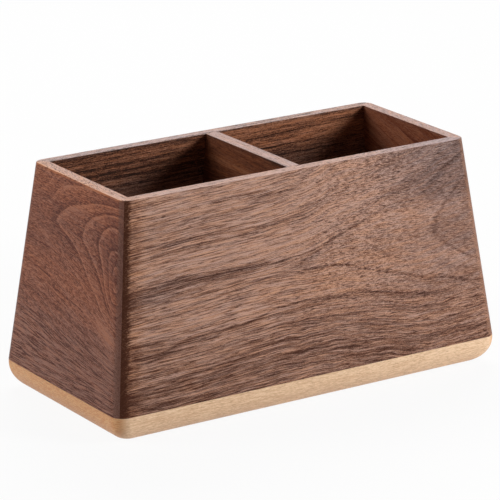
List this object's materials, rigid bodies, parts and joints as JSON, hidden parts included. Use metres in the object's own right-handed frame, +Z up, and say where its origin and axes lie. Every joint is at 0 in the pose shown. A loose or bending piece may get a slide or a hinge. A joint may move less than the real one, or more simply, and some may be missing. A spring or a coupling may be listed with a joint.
{
  "type": "pen stand",
  "caption": "Rectangular wooden pen stand with splayed, mitred walls, a cross divider that makes compartments, and a pale base plate rounded underneath.",
  "frame": {"origin": "middle of the flat underside, on the desk", "axes": "+X along the length, -Y towards the front wall, +Z up"},
  "size_m": [0.214, 0.1064, 0.112],
  "materials": {
    "walnut": "thin oil, satin",
    "beech": "thin oil, satin",
    "tongue_wood": "raw plywood",
    "screw_steel": "zinc plated"
  },
  "bodies": {
    "root": {"base_plate": "beech", "front_wall": "walnut", "right_end_wall": "walnut", "back_wall": "walnut", "left_end_wall": "walnut", "divider": "walnut", "tongue_front_left": "tongue_wood", "tongue_front_right": "tongue_wood", "tongue_back_right": "tongue_wood", "tongue_back_left": "tongue_wood", "base_screws": "screw_steel"}
  },
  "joints": []
}
